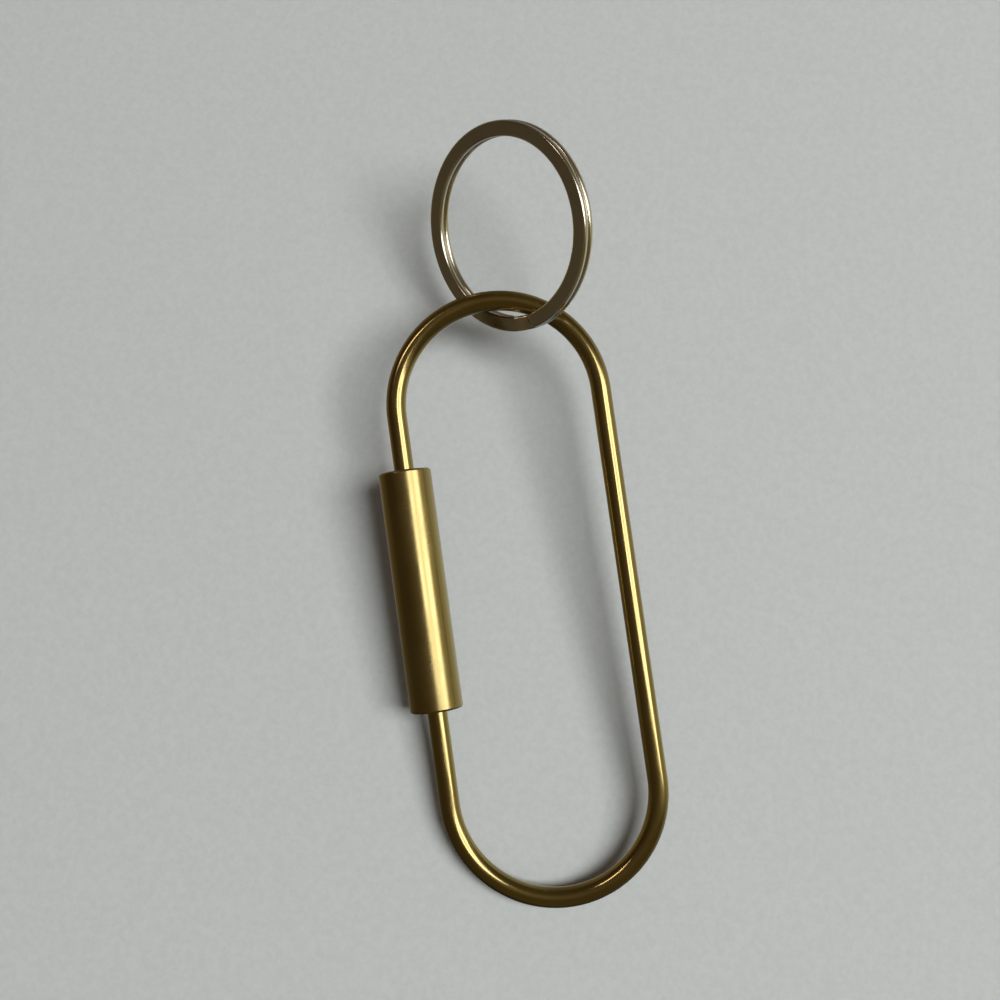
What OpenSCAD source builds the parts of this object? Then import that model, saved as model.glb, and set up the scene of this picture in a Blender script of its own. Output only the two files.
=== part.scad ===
// Carabiner keychain: a long oval of bent brass rod, closed by a screw sleeve on its left side,
// hanging in a split ring of flat wire. Millimetres, +Z up, +X to the right, the room at -Y.
// The origin is the top of the ring's eye, where whatever carries the keychain bears on it.

/* [Loop] */
// Diameter of the bent rod
rod_d = 2.8; // [2.6:0.1:3.2]
// Radius of both end bends, measured to the middle of the rod
bend_r = 14.4; // [12.4:0.2:18]
// Straight length of each long side, between the bends
side_len = 54.2; // [50:0.2:80]
// How far the loop leans, because the sleeve makes its left side heavy
loop_lean = 15.7; // [0:0.1:20]

/* [Sleeve] */
// Outer diameter of the sleeve
sleeve_d = 7.4; // [6:0.1:9]
// Length of the sleeve
sleeve_len = 33.5; // [31:0.5:40]
// Bare rod between the upper bend and the closed sleeve
bare_len = 7.6; // [6:0.2:10]
// How far the sleeve screws up from closed to open
travel = 10; // [6:0.5:10]
// Bevel round both ends of the sleeve
sleeve_bevel = 0.4; // [0.2:0.05:0.6]
// Bore above the tapped stretch, wide enough to run over the start of the bend
throat_d = 3.7; // [3.5:0.1:4]
// Tapped stretch of the sleeve, counted from its lower end
tapped_len = 20; // [18:0.5:22]

/* [Rod ends] */
// Diameter over the threads that are cut on both ends of the rod
thread_d = 2.4; // [2:0.1:2.6]
// Length of the lower threaded stub
stub_len = 5; // [3:0.5:6]
// Gap between the two rod ends, which the closed sleeve hides
gate_gap = 7; // [6:0.5:8]
// Bevel on the tip of each rod end
tip_bevel = 0.3; // [0.1:0.05:0.5]

/* [Split ring] */
// Outer diameter of the ring
ring_d = 28.2; // [25:0.2:32]
// Width of the flat wire, across the ring
wire_w = 2.1; // [1.6:0.1:2.4]
// Thickness of the flat wire, along the ring's axis
wire_t = 0.95; // [0.8:0.05:1.2]
// Groove left between the two turns
turn_gap = 0.1; // [0.05:0.01:0.2]
// Bevel along the wire's four edges
wire_bevel = 0.18; // [0.1:0.02:0.3]
// Angle round the ring where the front turn starts to step back
step_angle = 269; // [200:1:280]
// Angle that the step from the front turn to the rear turn takes
step_span = 12; // [10:1:20]
// How far the ring is turned, its right side towards the room
ring_turn = 38; // [30:0.5:45]
// How far the ring leans, its lower side towards the wall
ring_dip = 20.8; // [10:0.2:25]

/* [Fits] */
// Running clearance all round the threaded ends in the sleeve
thread_fit = 0.05; // [0.02:0.01:0.08]
// Gap left at the sleeve's closed and open stops
stop_gap = 0.1; // [0.05:0.01:0.2]
// Gap between the hanging loop and the ring that carries it
seat_gap = 0.2; // [0.1:0.02:0.3]
// Gap between the step of the ring and each end of its wire
wire_end_gap = 0.3; // [0.2:0.05:0.6]
// How far the loop sits to the right of the eye's lowest point
seat_right = -1; // [-1.8:0.1:0]
// How far the loop sits behind the eye's lowest point
seat_back = 0.7; // [0:0.1:1]

/* [Hidden] */
$fn = 96;

// Sections along each flat turn of the ring, along its step and along each rounded end
turn_steps = 60;
step_steps = 12;
nose_steps = 5;
// Angle to either side of its top over which the upper bend is searched for its contact
search_angle = 45;
search_steps = 60;
// Number of halvings that find how deep the loop hangs
hang_steps = 24;
// How far the threaded ends and the right side's core run on into what they join
overrun = 0.5;

eye_r = ring_d / 2 - wire_w;
wire_r = ring_d / 2 - wire_w / 2;
layer = (wire_t + turn_gap) / 2;
stack = 2 * wire_t + turn_gap;
ring_pose = [90 + ring_dip, 0, -ring_turn];

// Angle that a length takes along the middle of the ring's wire
function wire_angle(length) = length / wire_r * 180 / PI;
nose_angle = wire_angle(wire_w / 2);
end_angle = wire_angle(wire_end_gap) + nose_angle;
front_from = step_angle + step_span + end_angle;
front_to = step_angle + 360;
rear_from = front_to + step_span;
rear_to = step_angle + 720 - end_angle;

// Heights on the loop's left side, up from the middle of the upper bend
sleeve_top = -bare_len;
sleeve_foot = sleeve_top - sleeve_len;
tapped_top = sleeve_foot + tapped_len;
stub_top = sleeve_foot + stub_len;
arm_tip = stub_top + gate_gap;
lower_shoulder = sleeve_foot - stop_gap;
upper_shoulder = tapped_top + travel + stop_gap;
bore_d = thread_d + 2 * thread_fit;
mouth_bevel = (rod_d - bore_d) / 2 + thread_fit;

// Turning of a point about X and then Z, as rotate([x, 0, z]) does it
function about_x(p, a) = [p.x, p.y * cos(a) - p.z * sin(a), p.y * sin(a) + p.z * cos(a)];
function about_z(p, a) = [p.x * cos(a) - p.y * sin(a), p.x * sin(a) + p.y * cos(a), p.z];
function from_ring(p) = about_z(about_x(p, ring_pose.x), ring_pose.z);
function into_ring(p) = about_x(about_z(p, -ring_pose.z), -ring_pose.x);

eye_top = from_ring([0, eye_r, 0]);
eye_foot = from_ring([0, -eye_r, 0]);

// Distance of a point, in the ring's own axes, from the flat wire
function wire_distance(p) = let (
    rho = norm([p.x, p.y]),
    across = max(eye_r - rho, rho - ring_d / 2, 0),
    along = max(abs(p.z) - stack / 2, 0)
) norm([across, along]);

// Middle of the upper bend below the ring's middle, when it hangs this deep
function bend_centre(depth) = [eye_foot.x + seat_right, eye_foot.y + seat_back, -depth];
function bend_point(depth, a) = bend_centre(depth) + bend_r * [sin(a), 0, cos(a)];
function rod_gap(depth) = min([
    for (k = [-search_steps : search_steps])
        wire_distance(into_ring(bend_point(depth, search_angle * k / search_steps)))
]) - rod_d / 2;

// Depth at which the rod comes down to its seat in the eye
function hang(low, high, left) = let (mid = (low + high) / 2)
    left == 0 ? mid : rod_gap(mid) > seat_gap ? hang(mid, high, left - 1) : hang(low, mid, left - 1);
depth = hang(bend_r, eye_r + bend_r, hang_steps);
loop_at = bend_centre(depth) - eye_top;

// Section of the flat wire about its middle, with bevelled edges, at a share of its full width
function wire_section(width_share) = let (
    w = width_share * wire_w / 2,
    t = wire_t / 2,
    b = min(wire_bevel, w / 2)
) [[w - b, -t], [w, b - t], [w, t - b], [w - b, t], [b - w, t], [-w, t - b], [-w, b - t], [b - w, -t]];
sides = len(wire_section(1));

// Stations along the wire: angle round the ring, height along its axis, share of the wire's width
function nose(at, height, way) = [
    for (k = [1 : nose_steps]) let (a = 90 * k / nose_steps)
        [at - way * nose_angle * cos(a), height, sin(a)]
];
function flat_turn(from, to, height) = [
    for (k = [1 : turn_steps]) [from + (to - from) * k / turn_steps, height, 1]
];
function step_back(from) = [
    for (k = [1 : step_steps]) [from + step_span * k / step_steps, layer * cos(180 * k / step_steps), 1]
];
function turned_over(list) = [for (k = [len(list) - 1 : -1 : 0]) list[k]];
front_turn = concat(nose(front_from, layer, 1), flat_turn(front_from, front_to, layer));
rear_turn = concat(flat_turn(rear_from, rear_to, -layer), turned_over(nose(rear_to, -layer, -1)));
stations = concat(front_turn, step_back(front_to), rear_turn);

// Eight points of the wire's skin at one station
function skin_ring(s) = [
    for (p = wire_section(s[2])) [(wire_r + p.x) * cos(s[0]), (wire_r + p.x) * sin(s[0]), s[1] + p.y]
];
skin_points = [for (s = stations, p = skin_ring(s)) p];
last = len(stations) - 1;
skin_faces = concat(
    [[for (k = [0 : sides - 1]) k]],
    [
        for (i = [0 : last - 1], k = [0 : sides - 1]) let (
            n = (k + 1) % sides,
            near = i * sides,
            far = near + sides
        )
            each [[near + k, far + k, far + n], [near + k, far + n, near + n]]
    ],
    [[for (k = [sides - 1 : -1 : 0]) last * sides + k]]
);

// Least gap between the front turn and the wire that lies a turn behind it
function turns_gap() = min([
    for (i = [0 : len(front_turn) - 1], j = [len(front_turn) - 1 : last])
        if (abs(stations[j][0] - stations[i][0] - 360) < 360 / turn_steps)
            for (p = skin_ring(stations[i]), q = skin_ring(stations[j])) norm(p - q)
]);
echo(gap_between_turns = turns_gap(), rod_to_ring = rod_gap(depth), loop_depth = depth);
echo(ring_middle = -eye_top, bend_middle = loop_at);

// Flat wire wound twice round, stepping from the front turn to the rear one
module split_ring() {
    color([0.66, 0.6, 0.45])
        translate(-eye_top)
            rotate(ring_pose)
                polyhedron(skin_points, skin_faces);
}

// Places what is drawn about the middle of the loop's upper bend
module on_loop() {
    translate(loop_at)
        rotate([0, -loop_lean, 0])
            children();
}

// Round bar between two heights, with a bevelled tip at either end if asked
module bar(d, low, high, low_bevel = 0, high_bevel = 0) {
    translate([0, 0, low])
        rotate_extrude()
            polygon([
                [0, 0],
                [d / 2 - low_bevel, 0],
                [d / 2, low_bevel],
                [d / 2, high - low - high_bevel],
                [d / 2 - high_bevel, high - low],
                [0, high - low]
            ]);
}

// Half-turn bend of the rod that stands upright, opening downwards
module bend() {
    rotate([90, 0, 0])
        rotate_extrude(angle = 180)
            translate([bend_r, 0])
                circle(d = rod_d);
}

// One rod bent to a long oval, both ends turned down and threaded inside the sleeve
module loop_rod() {
    color([0.78, 0.65, 0.3])
        on_loop() {
            bend();
            translate([0, 0, -side_len])
                mirror([0, 0, 1])
                    bend();
            translate([bend_r, 0, 0]) {
                bar(rod_d, -side_len, 0);
                bar(thread_d, -side_len - overrun, overrun);
            }
            translate([-bend_r, 0, 0]) {
                bar(rod_d, upper_shoulder, 0);
                bar(thread_d, arm_tip, overrun, low_bevel = tip_bevel);
                bar(rod_d, -side_len, lower_shoulder);
                bar(thread_d, -side_len - overrun, stub_top, high_bevel = tip_bevel);
            }
        }
}

// Turned sleeve: tapped from its foot, wider above, bevelled inside and out
module screw_sleeve() {
    color([0.74, 0.58, 0.26])
        on_loop()
            translate([-bend_r, 0, sleeve_foot])
                rotate_extrude()
                    polygon([
                        [bore_d / 2 + mouth_bevel, 0],
                        [sleeve_d / 2 - sleeve_bevel, 0],
                        [sleeve_d / 2, sleeve_bevel],
                        [sleeve_d / 2, sleeve_len - sleeve_bevel],
                        [sleeve_d / 2 - sleeve_bevel, sleeve_len],
                        [throat_d / 2 + mouth_bevel, sleeve_len],
                        [throat_d / 2, sleeve_len - mouth_bevel],
                        [throat_d / 2, tapped_len],
                        [bore_d / 2, tapped_len],
                        [bore_d / 2, mouth_bevel]
                    ]);
}

split_ring();
loop_rod();
screw_sleeve();
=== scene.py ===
import math

import bpy
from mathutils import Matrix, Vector


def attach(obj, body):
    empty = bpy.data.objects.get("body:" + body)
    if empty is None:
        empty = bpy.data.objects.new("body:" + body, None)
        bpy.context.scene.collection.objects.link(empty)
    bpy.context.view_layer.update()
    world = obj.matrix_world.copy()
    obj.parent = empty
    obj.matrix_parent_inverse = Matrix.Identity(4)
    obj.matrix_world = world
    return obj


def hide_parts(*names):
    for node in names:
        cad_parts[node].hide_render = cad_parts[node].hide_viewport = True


# Carabiner keychain: split ring, long brass loop and its screw sleeve, hanging in front of a pale board.
# Metres, same frame as the CAD: the origin is the top of the ring's eye, +Z up, the room at -Y.

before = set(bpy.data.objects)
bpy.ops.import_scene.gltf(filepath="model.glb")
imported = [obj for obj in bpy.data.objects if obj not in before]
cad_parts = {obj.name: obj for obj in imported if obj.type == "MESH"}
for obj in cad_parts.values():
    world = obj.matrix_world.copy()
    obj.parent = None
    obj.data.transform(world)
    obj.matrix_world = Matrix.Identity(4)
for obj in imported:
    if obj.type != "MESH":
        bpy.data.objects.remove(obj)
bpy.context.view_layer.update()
mm = 0.001
hair = 0.001 * mm  # closer than this is the same place
print("frame loaded:", ", ".join(sorted(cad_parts)))


# small helpers

def inRadians(angles):
    return [math.radians(angle) for angle in angles]


def deselectAll():  # leaves edit mode as well
    if bpy.context.mode != 'OBJECT':
        bpy.ops.object.mode_set(mode='OBJECT')
    bpy.ops.object.select_all(action='DESELECT')


def pick(*pieces):  # selects these alone, with the first one active
    deselectAll()
    for piece in pieces:
        piece.select_set(True)
    bpy.context.view_layer.objects.active = pieces[0]


def joinUp(*pieces):  # makes them one object, under the name of the first
    pick(*pieces)
    bpy.ops.object.join()


def editMesh(piece, select='SELECT'):  # opens the piece with everything selected, or nothing
    pick(piece)
    bpy.ops.object.mode_set(mode='EDIT')
    bpy.ops.mesh.select_all(action=select)


def bakePlace(piece, location=(0, 0, 0), rotation=(0, 0, 0)):  # puts the piece's place into its mesh
    pick(piece)
    piece.location = location
    piece.rotation_euler = inRadians(rotation)
    bpy.ops.object.transform_apply(location=True, rotation=True, scale=True)


def drawOutline(name, points, fill='NOTHING'):  # a closed outline through the points
    deselectAll()
    bpy.ops.mesh.primitive_circle_add(vertices=len(points), radius=mm, fill_type=fill)
    piece = bpy.context.object
    piece.name = name
    for vertex, point in zip(piece.data.vertices, points):
        vertex.co = point
    return piece


def pullOut(offset, widen=(1, 1, 1), centre=(0, 0, 0)):  # extrudes what is selected and changes its width
    bpy.ops.mesh.extrude_region_move(TRANSFORM_OT_translate={"value": offset})
    if widen != (1, 1, 1):
        bpy.ops.transform.resize(value=widen, center_override=centre)


def sweepRound(steps, angle, centre=(0, 0, 0), axis=(0, 0, 1)):  # draws what is selected round an axis
    bpy.ops.mesh.spin(steps=steps, angle=math.radians(angle), center=centre, axis=axis)


def evenShading(piece, angle=35):  # smooth, with the flat faces kept flat right up to their rounded edges
    pick(piece)
    bpy.ops.object.shade_smooth_by_angle(angle=math.radians(angle))
    weighted = piece.modifiers.new("evenShading", 'WEIGHTED_NORMAL')
    weighted.keep_sharp = True
    bpy.ops.object.modifier_apply(modifier=weighted.name)


def softenEdges(piece, width, segments, sharpAngle=25):  # rounds the sharp edges and shades the rest smooth
    pick(piece)
    bevel = piece.modifiers.new("softEdges", 'BEVEL')
    bevel.width = width
    bevel.segments = segments
    bevel.limit_method = 'ANGLE'
    bevel.angle_limit = math.radians(sharpAngle)
    bpy.ops.object.modifier_apply(modifier=bevel.name)
    evenShading(piece)


def closeUp(piece):  # merges doubles, turns the faces outwards and counts the open edges
    editMesh(piece)
    bpy.ops.mesh.remove_doubles(threshold=hair)
    bpy.ops.mesh.normals_make_consistent(inside=False)
    bpy.ops.mesh.select_all(action='DESELECT')
    bpy.ops.mesh.select_mode(type='EDGE')
    bpy.ops.mesh.select_non_manifold()
    bpy.ops.object.mode_set(mode='OBJECT')
    openEdges = sum(edge.select for edge in piece.data.edges)
    bpy.context.tool_settings.mesh_select_mode = (True, False, False)
    print(piece.name, "faces", len(piece.data.polygons), "open edges", openEdges)


# shader maths

class Paint:  # a shader socket that can be added, multiplied and so on
    def __init__(self, tree, socket=None):
        self.tree = tree
        self.socket = socket

    def into(self, target):
        self.tree.links.new(self.socket, target)

    def toSurface(self):
        self.into(self.tree.nodes["Material Output"].inputs["Surface"])

    def node(self, kind, sockets=None, out=0, stops=None, **settings):
        made = self.tree.nodes.new(kind)
        for name, value in settings.items():
            setattr(made, name, value)
        if stops:
            ramp = made.color_ramp
            ramp.elements.remove(ramp.elements[1])
            ramp.elements[0].position = stops[0][0]
            ramp.elements[0].color = (*stops[0][1], 1)
            for place, colour in stops[1:]:
                ramp.elements.new(place).color = (*colour, 1)
        for name, value in (sockets or {}).items():
            if isinstance(value, Paint):
                value.into(made.inputs[name])
            else:
                made.inputs[name].default_value = value
        return Paint(self.tree, None if out is None else made.outputs[out])

    def maths(self, operation, *values):
        return self.node('ShaderNodeMath', dict(enumerate(values)), operation=operation)

    def __add__(self, other):
        return self.maths('ADD', self, other)

    def __radd__(self, other):
        return self.maths('ADD', other, self)

    def __sub__(self, other):
        return self.maths('SUBTRACT', self, other)

    def __rsub__(self, other):
        return self.maths('SUBTRACT', other, self)

    def __mul__(self, other):
        return self.maths('MULTIPLY', self, other)

    def __rmul__(self, other):
        return self.maths('MULTIPLY', other, self)

    def spread(self, low, high):  # stretches low..high to 0..1 and clamps
        return self.node('ShaderNodeMapRange', {"Value": self, "From Min": low, "From Max": high})

    def noise(self, place, scale=1.0, detail=2.0, rough=0.5, stretch=(1, 1, 1), turn=(0, 0, 0)):
        lined = self.node('ShaderNodeMapping', {
            "Vector": place, "Scale": stretch, "Rotation": inRadians(turn)})
        return self.node('ShaderNodeTexNoise', {
            "Vector": lined, "Scale": scale, "Detail": detail, "Roughness": rough}, out="Fac")

    def blend(self, share, first, second):
        return self.node('ShaderNodeMix', {0: share, 6: first, 7: second}, out=2, data_type='RGBA')


def newMaterial(name):
    material = bpy.data.materials.new(name)
    material.use_nodes = True
    tree = material.node_tree
    return material, tree.nodes["Principled BSDF"], Paint(tree)


# split ring: flat wire wound twice, with a step at the bottom

splitRing = {
    "outerDiameter": 28.2 * mm,
    "wireWidth": 2.1 * mm,
    "wireThickness": 0.95 * mm,
    "grooveWidth": 0.1 * mm,
    # a quarter of the wire's outline in mm from its middle: across the wire, through the wire
    "section": [(0.68, 0.475), (0.81, 0.455), (0.91, 0.40), (0.98, 0.30), (1.03, 0.16)],
    "stepStarts": 269.0,  # degrees round the ring
    "stepSpan": 12.0,
    "stepFaces": 16,
    "endGap": 0.3 * mm,  # from the step to each end of the wire
    "noseAngles": [18, 36, 54, 72, 90],  # where the rounded ends get their edges, from tip to full width
    "degreesPerFace": 1.5,
    "smoothUnder": 40,  # edges flatter than this many degrees are shaded smooth
    "middle": (2.62351 * mm, 3.35794 * mm, -11.2179 * mm),
    "lean": (110.8, 0, -38.0),
}


def roundEnd(angles, nose, centre):  # draws one end of the wire out to a half circle, or back from it
    for before, after in zip(angles, angles[1:]):
        a, b = math.radians(before), math.radians(after)
        pullOut((0, nose * abs(math.cos(a) - math.cos(b)), 0), (math.sin(b) / math.sin(a), 1, 1), centre)


def makeSplitRing(p):
    radius = (p["outerDiameter"] - p["wireWidth"]) / 2
    layer = (p["wireThickness"] + p["grooveWidth"]) / 2
    nose = p["wireWidth"] / 2
    noseAngles = p["noseAngles"]
    endAngle = math.degrees((nose + p["endGap"]) / radius)
    flatTurn = 360 - p["stepSpan"] - endAngle
    flatSteps = round(flatTurn / p["degreesPerFace"])
    turned = 2 * flatTurn + p["stepSpan"]

    quarter = [(x * mm, z * mm) for x, z in p["section"]]
    outline = quarter + [(nose, 0)] + [(x, -z) for x, z in quarter[::-1]]
    outline += [(-x, z) for x, z in outline[::-1]]
    tip = math.radians(noseAngles[0])
    piece = drawOutline("splitRing", [
        (radius + x * math.sin(tip), -nose * math.cos(tip), layer + z) for x, z in outline], 'NGON')
    editMesh(piece)
    roundEnd(noseAngles, nose, (radius, 0, layer))
    # front turn, step and rear turn
    sweepRound(flatSteps, -flatTurn)
    for k in range(p["stepFaces"]):
        sweepRound(1, -p["stepSpan"] / p["stepFaces"])
        before, after = [math.cos(math.pi * n / p["stepFaces"]) for n in (k, k + 1)]
        bpy.ops.transform.translate(value=(0, 0, layer * (after - before)))
    sweepRound(flatSteps, -flatTurn)
    # the rear turn's end is drawn out with that end turned to the X axis
    bakePlace(piece, rotation=(0, 0, -turned))
    bpy.ops.object.mode_set(mode='EDIT')
    roundEnd(noseAngles[::-1], nose, (radius, 0, -layer))
    bakePlace(piece, rotation=(0, 0, turned + p["stepStarts"] + p["stepSpan"] + endAngle))
    closeUp(piece)
    bakePlace(piece, p["middle"], p["lean"])
    evenShading(piece, p["smoothUnder"])
    return piece


ringPiece = makeSplitRing(splitRing)

# threads: one small triangle wound up the axis, on the rod ends and in the sleeve

thread = {
    "pitch": 0.4 * mm,
    "halfRidge": 0.46,  # half the ridge's foot, as a share of the pitch
    "stepsPerTurn": 32,
    "sunk": 0.05 * mm,  # how far the ridge's foot stands inside its core or wall
}


def makeRidge(p, crest, root, low, high):
    half = p["halfRidge"] * p["pitch"]
    corners = [(root, -half), (crest, 0), (root, half)]
    ridge = drawOutline("threadRidge", [(r, 0, z + low + half) for r, z in corners])
    screw = ridge.modifiers.new("winding", 'SCREW')
    screw.screw_offset = p["pitch"]
    screw.iterations = int((high - low - 2 * half) / p["pitch"])
    screw.steps = screw.render_steps = p["stepsPerTurn"]
    bpy.ops.object.modifier_apply(modifier=screw.name)
    editMesh(ridge)
    bpy.ops.mesh.fill_holes(sides=len(corners))
    bpy.ops.mesh.normals_make_consistent(inside=False)
    bpy.ops.object.mode_set(mode='OBJECT')
    return ridge


# brass loop: one rod, two bends, both ends turned down and threaded inside the sleeve

brassLoop = {
    "rodDiameter": 2.8 * mm,
    "rodSides": 56,
    "bendRadius": 14.4 * mm,
    "bendSteps": 72,
    "sideLength": 54.2 * mm,
    "smoothUnder": 35,
    "lean": 15.7,
    "bendMiddle": (4.24702 * mm, 7.41587 * mm, -34.7349 * mm),
    # heights on the left side, from the middle of the upper bend
    "upperShoulder": -11.0 * mm,
    "armTip": -29.1 * mm,
    "stubTop": -36.1 * mm,
    "lowerShoulder": -41.2 * mm,
    "shoulderBevel": 0.12 * mm,
    "endSides": 40,
    "endRooted": 0.5 * mm,  # how far the threaded ends start inside the rod
    "threadCrest": 1.2 * mm,
    "threadRoot": 1.0 * mm,
    "threadMargin": 0.3 * mm,
    "tipBevel": 0.3 * mm,
}


def makeThreadedEnd(p, low, high, tip):  # turned-down core with its ridge, bevelled at the tip
    deselectAll()
    bpy.ops.mesh.primitive_cylinder_add(vertices=p["endSides"], radius=p["threadRoot"], depth=high - low,
                                        location=(0, 0, (low + high) / 2))
    core = bpy.context.object
    bakePlace(core, core.location)
    editMesh(core, 'DESELECT')
    bpy.ops.mesh.select_mode(type='FACE')
    bpy.ops.object.mode_set(mode='OBJECT')
    for face in core.data.polygons:
        face.select = abs(face.center.z - tip) < hair
    bpy.ops.object.mode_set(mode='EDIT')
    bpy.ops.mesh.bevel(offset=p["tipBevel"], segments=1, affect='EDGES')
    bpy.context.tool_settings.mesh_select_mode = (True, False, False)
    joinUp(core, makeRidge(thread, p["threadCrest"], p["threadRoot"] - thread["sunk"],
                           low + p["threadMargin"], high - p["threadMargin"]))
    return core


def addGrain(piece, p):  # distance along the rod and place across it, so that drawing lines follow the bends
    radius, side = p["bendRadius"], p["sideLength"]
    grain = piece.data.attributes.new("grain", 'FLOAT_VECTOR', 'POINT')
    for vertex, item in zip(piece.data.vertices, grain.data):
        x, y, z = vertex.co
        if z > 0:  # upper bend
            along = 2 * side + radius * (math.pi + math.atan2(z, x))
            out = math.hypot(x, z) - radius
        elif z < -side:  # lower bend
            along = side + radius * math.atan2(-side - z, -x)
            out = math.hypot(x, z + side) - radius
        else:
            along = -z if x < 0 else 2 * side + math.pi * radius + z
            out = abs(x) - radius
            if x < 0 and z > p["stubTop"]:  # the left side above the gate, at the far end of the rod
                along += 2 * side + 2 * math.pi * radius
        item.vector = (along, out, y)


def makeBrassLoop(p):
    radius, side = p["bendRadius"], p["sideLength"]
    upper, lower = p["upperShoulder"], p["lowerShoulder"]
    rod = p["rodDiameter"] / 2
    bevel = p["shoulderBevel"]
    narrow = (rod - bevel) / rod

    deselectAll()
    bpy.ops.mesh.primitive_circle_add(vertices=p["rodSides"], radius=rod - bevel, fill_type='NGON',
                                      location=(-radius, 0, lower))
    piece = bpy.context.object
    piece.name = "brassLoop"
    bakePlace(piece, piece.location)
    editMesh(piece)
    pullOut((0, 0, -bevel), (1 / narrow, 1 / narrow, 1), (-radius, 0, lower - bevel))
    pullOut((0, 0, -side - lower + bevel))
    sweepRound(p["bendSteps"], 180, (0, 0, -side), (0, 1, 0))
    pullOut((0, 0, side))
    sweepRound(p["bendSteps"], 180, (0, 0, 0), (0, 1, 0))
    pullOut((0, 0, upper + bevel))
    pullOut((0, 0, -bevel), (narrow, narrow, 1), (-radius, 0, upper))
    closeUp(piece)
    # the threaded stub below the gate and the threaded arm above it
    stub = makeThreadedEnd(p, lower - p["endRooted"], p["stubTop"], p["stubTop"])
    arm = makeThreadedEnd(p, p["armTip"], upper + p["endRooted"], p["armTip"])
    for end in (stub, arm):
        bakePlace(end, (-radius, 0, 0))
    joinUp(piece, stub, arm)
    addGrain(piece, p)
    bakePlace(piece, p["bendMiddle"], (0, -p["lean"], 0))
    bpy.ops.object.shade_smooth_by_angle(angle=math.radians(p["smoothUnder"]))
    return piece


loopPiece = makeBrassLoop(brassLoop)

# screw sleeve: turned tube, tapped from its foot, wider above

screwSleeve = {
    "diameter": 7.4 * mm,
    "length": 33.5 * mm,
    "sides": 128,
    "foot": -41.1 * mm,
    "endBevel": 0.22 * mm,
    "mouthBevel": 0.2 * mm,
    "edgeRound": 0.10 * mm,
    "edgeSegments": 3,
    "throat": 1.85 * mm,  # the bore's radius above the tapped length
    "tappedLength": 20.0 * mm,
    "threadCrest": 1.25 * mm,
    "threadRoot": 1.45 * mm,
    "threadStart": 0.25 * mm,
    "threadStop": 0.1 * mm,  # short of the tapped length
}


def makeScrewSleeve(p, loop):
    outer, top, bevel, mouth = p["diameter"] / 2, p["length"], p["endBevel"], p["mouthBevel"]
    root, throat, tapped = p["threadRoot"], p["throat"], p["tappedLength"]
    profile = [
        (root + mouth, 0), (outer - bevel, 0), (outer, bevel), (outer, top - bevel), (outer - bevel, top),
        (throat + mouth, top), (throat, top - mouth), (throat, tapped), (root, tapped), (root, mouth),
    ]
    piece = drawOutline("screwSleeve", [(r, 0, z) for r, z in profile])
    editMesh(piece)
    sweepRound(p["sides"], 360)
    closeUp(piece)
    softenEdges(piece, p["edgeRound"], p["edgeSegments"])
    joinUp(piece, makeRidge(thread, p["threadCrest"], root + thread["sunk"],
                            p["threadStart"], tapped - p["threadStop"]))
    bakePlace(piece, (-loop["bendRadius"], 0, p["foot"]))
    bakePlace(piece, loop["bendMiddle"], (0, -loop["lean"], 0))
    return piece


sleevePiece = makeScrewSleeve(screwSleeve, brassLoop)
print("pieces modelled")

# finishes; every scale is in noise cells per metre

brassFinish = {
    "colour": (0.42, 0.325, 0.125, 1),
    "tarnish": (0.33, 0.23, 0.085, 1),
    "tarnishShare": 0.35,
    "patchRange": (0.45, 0.75),
    "smudges": 0.10,  # roughness that they add
    "waveDepth": 0.004 * mm,
}

rodFinish = {
    **brassFinish,
    "roughness": 0.10,
    "patchScale": 60,
    "smudgeScale": 190,
    "smudgeRange": (0.42, 0.68),
    "waves": (160, 420, 420),  # along the rod, then across it
    "lines": (220, 7000, 7000),
    "lineDepth": 0.0012 * mm,
    "lineTint": 0.12,
    "lineRoughness": 0.05,
}

sleeveFinish = {
    **brassFinish,
    "roughness": 0.18,
    "patchScale": 45,
    "smudgeScale": 150,
    "smudgeRange": (0.40, 0.70),
    "waves": (220, 220, 60),  # across the sleeve, then along it
    "turning": (40, 40, 6500),
    "turningDepth": 0.00072 * mm,
    "streaks": (1600, 1600, 45),
    "streakDepth": 0.0006 * mm,
    "streakTint": 0.15,
    "streakRoughness": 0.06,
}


def dressMetal(paint, shader, colour, roughness, height):
    bump = paint.node('ShaderNodeBump', {"Height": height, "Distance": 1.0, "Strength": 1.0})
    colour.into(shader.inputs["Base Color"])
    roughness.into(shader.inputs["Roughness"])
    bump.into(shader.inputs["Normal"])
    shader.inputs["Metallic"].default_value = 1


def brassWear(paint, place, p):  # patches of tarnish, and smudges that dull the polish
    patches = paint.noise(place, p["patchScale"], detail=3).spread(*p["patchRange"])
    smudge = paint.noise(place, p["smudgeScale"], detail=4, rough=0.6).spread(*p["smudgeRange"])
    return patches * p["tarnishShare"], smudge * p["smudges"]


def rodBrass(p):  # polished brass, drawing lines along the rod
    material, shader, paint = newMaterial("rodBrass")
    place = paint.node('ShaderNodeTexCoord', out="Object")
    grain = paint.node('ShaderNodeAttribute', out="Vector", attribute_name="grain")
    tarnish, smudges = brassWear(paint, place, p)
    lines = paint.noise(grain, detail=3, stretch=p["lines"])
    waves = paint.noise(grain, detail=1, stretch=p["waves"])
    dressMetal(
        paint, shader,
        colour=paint.blend(tarnish + lines * p["lineTint"], p["colour"], p["tarnish"]),
        roughness=smudges + lines * p["lineRoughness"] + p["roughness"],
        height=lines * p["lineDepth"] + waves * p["waveDepth"])
    return material


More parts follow.
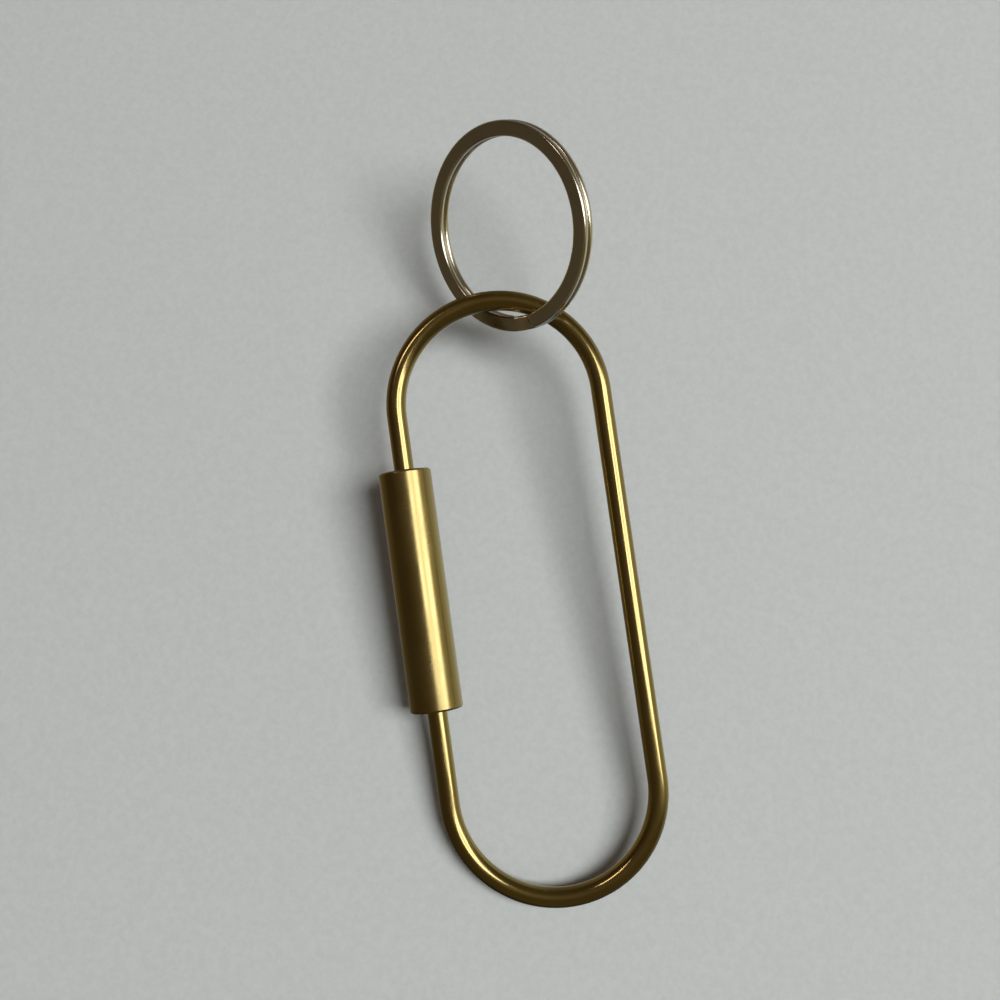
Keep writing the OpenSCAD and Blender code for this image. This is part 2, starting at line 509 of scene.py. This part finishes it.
def sleeveBrass(p, lean):  # polished brass, faint turning lines round the sleeve and wear along it
    material, shader, paint = newMaterial("sleeveBrass")
    place = paint.node('ShaderNodeTexCoord', out="Object")
    upright = paint.node('ShaderNodeMapping', {"Vector": place, "Rotation": inRadians((0, lean, 0))})
    tarnish, smudges = brassWear(paint, place, p)
    turning = paint.noise(upright, detail=2, stretch=p["turning"])
    streaks = paint.noise(upright, detail=3, stretch=p["streaks"])
    waves = paint.noise(upright, detail=1, stretch=p["waves"])
    dressMetal(
        paint, shader,
        colour=paint.blend(tarnish + streaks * p["streakTint"], p["colour"], p["tarnish"]),
        roughness=smudges + streaks * p["streakRoughness"] + p["roughness"],
        height=turning * p["turningDepth"] + waves * p["waveDepth"] + streaks * p["streakDepth"])
    return material


platedFinish = {
    "colour": (0.78, 0.72, 0.58, 1),
    "worn": (0.56, 0.48, 0.34, 1),
    "wornShare": 0.4,
    "roughness": 0.10,
    "wearScale": 260,
    "wearRange": (0.48, 0.72),
    "wearRoughness": 0.14,
    "scuffs": [((900, 6000, 2400), (20, 35, 10)), ((5200, 700, 3000), (-30, 15, 50))],  # scales, turn
    "scuffRoughness": 0.05,
    "scratchDepth": 0.0012 * mm,
}


def platedSteel(p):  # spring steel with a pale warm plating, scuffed by keys
    material, shader, paint = newMaterial("platedSteel")
    place = paint.node('ShaderNodeTexCoord', out="Object")
    wear = paint.noise(place, p["wearScale"], detail=4, rough=0.6).spread(*p["wearRange"])
    long, cross = [paint.noise(place, detail=2, stretch=scales, turn=turn) for scales, turn in p["scuffs"]]
    dressMetal(
        paint, shader,
        colour=paint.blend(wear * p["wornShare"], p["colour"], p["worn"]),
        roughness=wear * p["wearRoughness"] + long * p["scuffRoughness"] + p["roughness"],
        height=(long + cross) * p["scratchDepth"])
    return material


finished = [
    (ringPiece, platedSteel(platedFinish), "ring", "split_ring"),
    (loopPiece, rodBrass(rodFinish), "loop", "loop_rod"),
    (sleevePiece, sleeveBrass(sleeveFinish, brassLoop["lean"]), "sleeve", "screw_sleeve"),
]
for piece, material, body, node in finished:
    piece.data.materials.append(material)
    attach(piece, body)
    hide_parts(node)
print("finishes done")

# board behind, floor below

backdrop = {
    "through": (13.0 * mm, 18.19 * mm, -36.22 * mm),
    "leanBack": 7.846,
    "turn": 2.8,
    "boardSize": (0.9, 0.9, 1),
    "floorMiddle": (0, -0.35, -0.32),
    "floorSize": (1.2, 0.8, 1),
    "colour": (0.435, 0.462, 0.452, 1),
    "roughness": 0.75,
    "specular": 0.25,
    "mottleScale": 1000,
    "mottleRange": (0.35, 0.65),
    "mottleShade": 0.93,
    "mottleDepth": 0.02 * mm,
}


def paintBoard(p):  # matt pale paint, open to a camera behind it
    material, shader, paint = newMaterial("boardPaint")
    place = paint.node('ShaderNodeTexCoord', out="Object")
    mottle = paint.noise(place, p["mottleScale"], detail=3, rough=0.7)
    darker = [p["mottleShade"] * c for c in p["colour"][:3]] + [1]
    paint.blend(mottle.spread(*p["mottleRange"]), darker, p["colour"]).into(shader.inputs["Base Color"])
    shader.inputs["Roughness"].default_value = p["roughness"]
    shader.inputs["Specular IOR Level"].default_value = p["specular"]
    bump = paint.node('ShaderNodeBump', {"Height": mottle * p["mottleDepth"], "Distance": 1.0})
    bump.into(shader.inputs["Normal"])
    behind = paint.node('ShaderNodeNewGeometry', out="Backfacing")
    front = Paint(paint.tree, shader.outputs["BSDF"])
    clear = paint.node('ShaderNodeBsdfTransparent')
    paint.node('ShaderNodeMixShader', {0: behind, 1: front, 2: clear}).toSurface()
    return material


def keepBehind(board, loop):  # moves the board back as far as the loop swings back from its rest
    tree = bpy.data.node_groups.new("keepBehind", 'GeometryNodeTree')
    for side in ('INPUT', 'OUTPUT'):
        tree.interface.new_socket("Geometry", in_out=side, socket_type='NodeSocketGeometry')
    group = Paint(tree)
    swung = group.node('GeometryNodeObjectInfo', {"Object": loop}, out="Geometry", transform_space='RELATIVE')
    corner = group.node('GeometryNodeBoundBox', {"Geometry": swung}, out="Max")
    rearmost = group.node('ShaderNodeSeparateXYZ', {"Vector": corner}, out="Y")
    atRest = max(corner[1] for corner in loop.bound_box)
    back = group.node('ShaderNodeCombineXYZ', {"Y": group.maths('MAXIMUM', rearmost - atRest, 0)})
    moved = group.node('GeometryNodeSetPosition', {"Geometry": group.node('NodeGroupInput'), "Offset": back})
    group.node('NodeGroupOutput', {"Geometry": moved}, out=None)
    board.modifiers.new("keepBehind", 'NODES').node_group = tree


def makeBackdrop(p, loop):
    paint = paintBoard(p)
    deselectAll()
    bpy.ops.mesh.primitive_plane_add(size=1)
    board = bpy.context.object
    board.name = "board"
    board.scale = p["boardSize"]
    bakePlace(board, p["through"], (90 - p["leanBack"], 0, p["turn"]))
    board.data.materials.append(paint)
    keepBehind(board, loop)
    deselectAll()
    bpy.ops.mesh.primitive_plane_add(size=1, location=p["floorMiddle"])
    floor = bpy.context.object
    floor.name = "floor"
    floor.scale = p["floorSize"]
    floor.data.materials.append(paint)
    board.visible_glossy = floor.visible_glossy = False  # the metal sees the world's own board instead


makeBackdrop(backdrop, loopPiece)
print("board and floor done")

# camera and light

camera = {
    "place": (17.7184 * mm, -150.7898 * mm, -52.7621 * mm),
    "turn": (91.6756, -7.6879, 3.9055),
    "lens": 41.016,
    "sensor": 36,
    "nearest": 0.005,
    "farthest": 20,
}


def addCamera(p):
    data = bpy.data.cameras.new("camera")
    data.lens = p["lens"]
    data.sensor_width = p["sensor"]
    data.clip_start = p["nearest"]
    data.clip_end = p["farthest"]
    seer = bpy.data.objects.new("camera", data)
    seer.location = p["place"]
    seer.rotation_euler = inRadians(p["turn"])
    bpy.context.scene.collection.objects.link(seer)
    bpy.context.scene.camera = seer


addCamera(camera)

# azimuth 0 points to the room and grows to the right; angles are degrees as seen from the aim
studio = {
    "aim": Vector((9 * mm, 7 * mm, -60 * mm)),
    "windowLight": dict(azimuth=34, elevation=8, away=2.0, width=1.28, height=0.80, power=49),  # metres
    "cards": {  # width and height as angles
        "windowCard": dict(azimuth=38.3, elevation=12, width=46.5, height=25,
                           colour=(1.0, 1.0, 1.1), strength=4.1),
        "curtainCard": dict(azimuth=35, elevation=11.5, width=13, height=13,
                            colour=(0.85, 1.0, 0.95), strength=2.0, away=1.45),
        "lampCard": dict(azimuth=-37.5, elevation=20, width=19, height=4.5,
                         colour=(1.0, 0.85, 0.85), strength=6.0, tilt=26),
    },
    "wallLight": (0.120, 0.085, 0.068, 1),
    "backgroundGrey": (0.80, 0.82, 0.82, 1),
    # what the metal sees from the left to the right: the room, and the board with its shaded left side
    "room": [
        (0.0, (0.050, 0.037, 0.020)), (0.10, (0.042, 0.028, 0.017)), (0.19, (0.070, 0.050, 0.033)),
        (0.39, (0.125, 0.100, 0.068)), (0.50, (0.155, 0.138, 0.095)), (0.62, (0.20, 0.19, 0.13)),
        (0.94, (0.55, 0.53, 0.38)), (0.98, (0.40, 0.39, 0.26)), (1.0, (0.30, 0.29, 0.18)),
    ],
    "floorAndCeiling": [
        (0.0, (0.060, 0.047, 0.029)), (0.30, (0.070, 0.053, 0.028)), (0.50, (0.095, 0.072, 0.034)),
    ],
    "board": [
        (0.0, (0.15, 0.12, 0.05)), (0.15, (0.26, 0.22, 0.17)), (0.42, (0.30, 0.28, 0.24)),
        (0.56, (0.56, 0.60, 0.62)), (0.85, (0.60, 0.62, 0.60)), (1.0, (0.38, 0.37, 0.25)),
    ],
    # how much of the board's colour is left, from below to above
    "boardShade": [(0.05, 0.10), (0.20, 0.20), (0.35, 0.50), (0.50, 1.0), (0.70, 0.85), (1.0, 0.35)],
    # parts of a direction of length 1: upward middle of the room's band, its soft edges, and the board's
    "bandMiddle": 0.2,
    "bandEdges": (0.15, 0.50),
    "boardEdge": (-0.05, 0.08),
}


def towards(aim, azimuth, elevation, away):
    a, e = inRadians((azimuth, elevation))
    return aim + away * Vector((math.sin(a) * math.cos(e), -math.cos(a) * math.cos(e), math.sin(e)))


def lookAt(thing, target):
    thing.rotation_euler = (target - thing.location).to_track_quat('-Z', 'Y').to_euler()


def addLamp(name, aim, azimuth, elevation, away, width, height, power):
    data = bpy.data.lights.new(name, 'AREA')
    data.shape = 'RECTANGLE'
    data.size, data.size_y = width, height
    data.energy = power
    lamp = bpy.data.objects.new(name, data)
    lamp.location = towards(aim, azimuth, elevation, away)
    lookAt(lamp, aim)
    lamp.visible_glossy = False  # the window card stands for it there
    bpy.context.scene.collection.objects.link(lamp)


def addCard(name, aim, azimuth, elevation, width, height, colour, strength, away=1.5, tilt=0):
    material, _, paint = newMaterial(name)
    paint.node('ShaderNodeEmission', {"Color": (*colour, 1), "Strength": strength}).toSurface()
    deselectAll()
    bpy.ops.mesh.primitive_plane_add(size=1, location=towards(aim, azimuth, elevation, away))
    card = bpy.context.object
    card.name = name
    card.scale = [2 * away * math.tan(angle / 2) for angle in inRadians((width, height))] + [1]
    lookAt(card, aim)
    card.rotation_euler.rotate_axis('Z', math.radians(tilt))
    card.data.materials.append(material)
    # only the metal sees it
    card.visible_camera = card.visible_diffuse = card.visible_shadow = False
    card.visible_transmission = card.visible_volume_scatter = False


addLamp("windowLight", studio["aim"], **studio["windowLight"])
for name, card in studio["cards"].items():
    addCard(name, studio["aim"], **card)


def makeWorld(p):
    world = bpy.data.worlds.new("studio")
    world.use_nodes = True
    paint = Paint(world.node_tree)
    heading = paint.node('ShaderNodeTexCoord', out="Generated")
    sideways, away, upward = [
        paint.node('ShaderNodeSeparateXYZ', {"Vector": heading}, out=axis) for axis in "XYZ"]

    def shaded(part, stops):  # colours over one part of the direction, from -1 to 1
        return paint.node('ShaderNodeValToRGB', {"Fac": part * 0.5 + 0.5}, stops=stops)

    steep = paint.maths('ABSOLUTE', upward - p["bandMiddle"]).spread(*p["bandEdges"])
    room = paint.blend(steep, shaded(sideways, p["room"]), shaded(sideways, p["floorAndCeiling"]))
    lightness = shaded(upward, [(place, (share, share, share)) for place, share in p["boardShade"]])
    board = paint.blend(lightness, (0, 0, 0, 1), shaded(sideways, p["board"]))
    seenInMetal = paint.blend(away.spread(*p["boardEdge"]), room, board)
    isGlossy = paint.node('ShaderNodeLightPath', out="Is Glossy Ray")
    isCamera = paint.node('ShaderNodeLightPath', out="Is Camera Ray")
    lit = paint.blend(isGlossy, p["wallLight"], seenInMetal)
    seen = paint.blend(isCamera, lit, p["backgroundGrey"])
    seen.into(world.node_tree.nodes["Background"].inputs["Color"])
    bpy.context.scene.world = world


makeWorld(studio)
bpy.context.scene.view_settings.view_transform = 'Standard'
print("camera, lights and world done")
